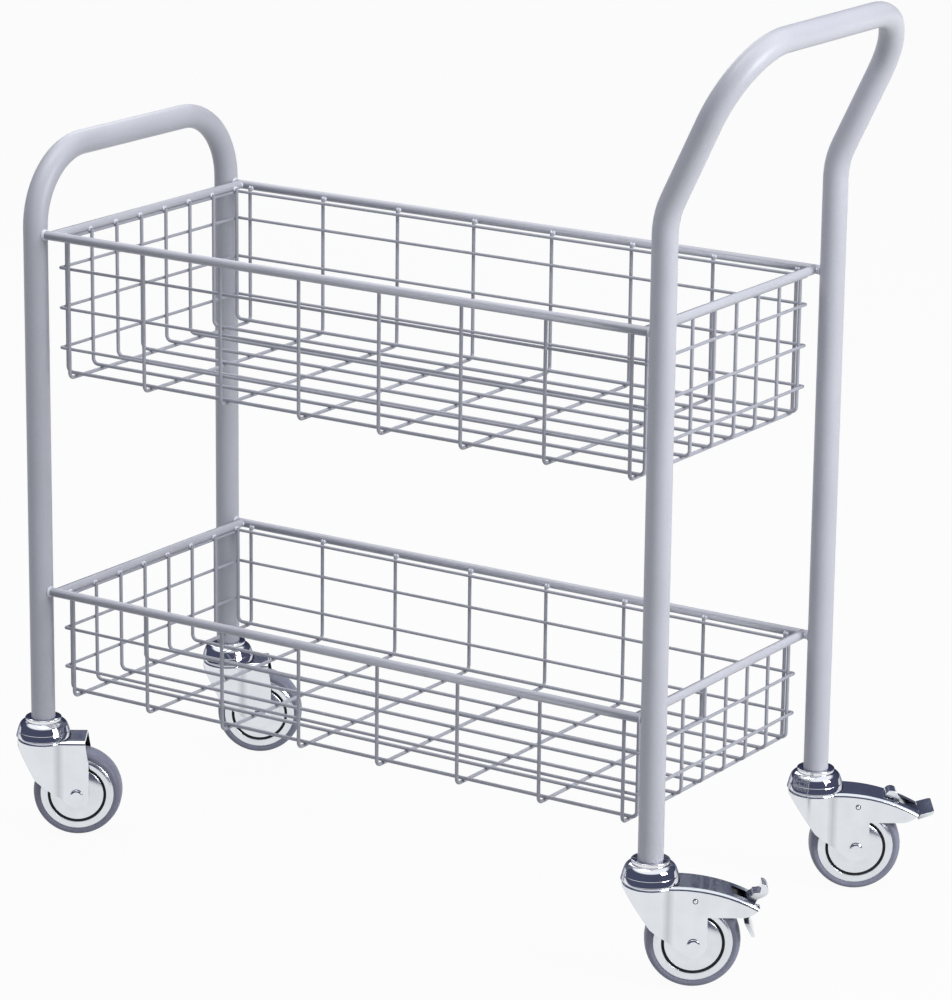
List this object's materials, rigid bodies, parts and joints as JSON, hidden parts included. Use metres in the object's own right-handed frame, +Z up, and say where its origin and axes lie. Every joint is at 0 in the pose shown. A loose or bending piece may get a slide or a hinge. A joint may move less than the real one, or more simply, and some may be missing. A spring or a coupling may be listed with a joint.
{
  "type": "mail sorting trolley",
  "caption": "Push trolley with two stacked wire baskets between bent-tube hoops, a leaning grip bar and swivel castors, the rear pair with rocker brake pedals.",
  "frame": {"origin": "on the floor, midway between the four legs", "axes": "+Z up, +X along the trolley towards the grip bar, -Y on the left of a person who pushes it"},
  "size_m": [0.9518, 0.4716, 1],
  "materials": {
    "frame_paint": "light silver-grey powder coat, satin",
    "zinc": "bright zinc plate",
    "chrome": "polished chrome",
    "rim": "satin silver",
    "tyre": "grey non-marking rubber"
  },
  "bodies": {
    "frame": {"front_hoop": "frame_paint", "handle_hoop": "frame_paint", "upper_left_rail": "frame_paint", "upper_right_rail": "frame_paint", "upper_front_rail": "frame_paint", "upper_rear_rail": "frame_paint", "lower_left_rail": "frame_paint", "lower_right_rail": "frame_paint", "lower_front_rail": "frame_paint", "lower_rear_rail": "frame_paint", "upper_cross_wires": "frame_paint", "upper_long_wires": "frame_paint", "upper_loop_wires": "frame_paint", "lower_cross_wires": "frame_paint", "lower_long_wires": "frame_paint", "lower_loop_wires": "frame_paint", "leg_inserts": "zinc", "castor_stems": "zinc", "swivel_bearings": "zinc", "castor_caps": "chrome"},
    "front_left_castor": {"front_left_fork": "zinc", "front_left_axle": "zinc", "front_left_dust_covers": "zinc"},
    "front_left_wheel": {"front_left_hub_bearing": "zinc", "front_left_rim": "rim", "front_left_tyre": "tyre"},
    "front_right_castor": {"front_right_fork": "zinc", "front_right_axle": "zinc", "front_right_dust_covers": "zinc"},
    "front_right_wheel": {"front_right_hub_bearing": "zinc", "front_right_rim": "rim", "front_right_tyre": "tyre"},
    "rear_left_castor": {"rear_left_fork": "zinc", "rear_left_axle": "zinc", "rear_left_dust_covers": "zinc", "rear_left_pedal_pin": "zinc", "rear_left_shoe_rivets": "zinc"},
    "rear_left_wheel": {"rear_left_hub_bearing": "zinc", "rear_left_rim": "rim", "rear_left_tyre": "tyre"},
    "rear_left_pedal": {"rear_left_brake_pedal": "zinc"},
    "rear_left_shoe": {"rear_left_brake_shoe": "zinc"},
    "rear_right_castor": {"rear_right_fork": "zinc", "rear_right_axle": "zinc", "rear_right_dust_covers": "zinc", "rear_right_pedal_pin": "zinc", "rear_right_shoe_rivets": "zinc"},
    "rear_right_wheel": {"rear_right_hub_bearing": "zinc", "rear_right_rim": "rim", "rear_right_tyre": "tyre"},
    "rear_right_pedal": {"rear_right_brake_pedal": "zinc"},
    "rear_right_shoe": {"rear_right_brake_shoe": "zinc"}
  },
  "joints": [
    {"name": "front_left_swivel", "type": "hinge", "parent": "frame", "child": "front_left_castor", "pos_m": [-0.4, -0.175, 0.137], "axis": [0, 0, 1], "continuous": true},
    {"name": "front_left_roll", "type": "hinge", "parent": "front_left_castor", "child": "front_left_wheel", "pos_m": [-0.36831, -0.15403, 0.05], "axis": [-0.5519, 0.8339, 0], "continuous": true},
    {"name": "front_right_swivel", "type": "hinge", "parent": "frame", "child": "front_right_castor", "pos_m": [-0.4, 0.175, 0.137], "axis": [0, 0, 1], "continuous": true},
    {"name": "front_right_roll", "type": "hinge", "parent": "front_right_castor", "child": "front_right_wheel", "pos_m": [-0.36831, 0.19597, 0.05], "axis": [-0.5519, 0.8339, 0], "continuous": true},
    {"name": "rear_left_swivel", "type": "hinge", "parent": "frame", "child": "rear_left_castor", "pos_m": [0.4, -0.175, 0.137], "axis": [0, 0, 1], "continuous": true},
    {"name": "rear_left_roll", "type": "hinge", "parent": "rear_left_castor", "child": "rear_left_wheel", "pos_m": [0.43752, -0.15016, 0.05], "axis": [-0.5519, 0.8339, 0], "continuous": true},
    {"name": "rear_left_pedal_rock", "type": "hinge", "parent": "rear_left_castor", "child": "rear_left_pedal", "pos_m": [0.48256, -0.12036, 0.0885], "axis": [-0.5519, 0.8339, 0], "range_deg": [-83, 0]},
    {"name": "rear_left_shoe_press", "type": "hinge", "parent": "rear_left_castor", "child": "rear_left_shoe", "pos_m": [0.43836, -0.14961, 0.099], "axis": [-0.5519, 0.8339, 0], "range_deg": [-5, 0]},
    {"name": "rear_right_swivel", "type": "hinge", "parent": "frame", "child": "rear_right_castor", "pos_m": [0.4, 0.175, 0.137], "axis": [0, 0, 1], "continuous": true},
    {"name": "rear_right_roll", "type": "hinge", "parent": "rear_right_castor", "child": "rear_right_wheel", "pos_m": [0.43752, 0.19984, 0.05], "axis": [-0.5519, 0.8339, 0], "continuous": true},
    {"name": "rear_right_pedal_rock", "type": "hinge", "parent": "rear_right_castor", "child": "rear_right_pedal", "pos_m": [0.48256, 0.22964, 0.0885], "axis": [-0.5519, 0.8339, 0], "range_deg": [0, 83]},
    {"name": "rear_right_shoe_press", "type": "hinge", "parent": "rear_right_castor", "child": "rear_right_shoe", "pos_m": [0.43836, 0.20039, 0.099], "axis": [-0.5519, 0.8339, 0], "range_deg": [0, 5]}
  ],
  "couplings": [
    {"joint": "rear_left_shoe_press", "follows": "rear_left_pedal_rock", "ratio": 0.060241},
    {"joint": "rear_right_shoe_press", "follows": "rear_right_pedal_rock", "ratio": 0.060241}
  ]
}
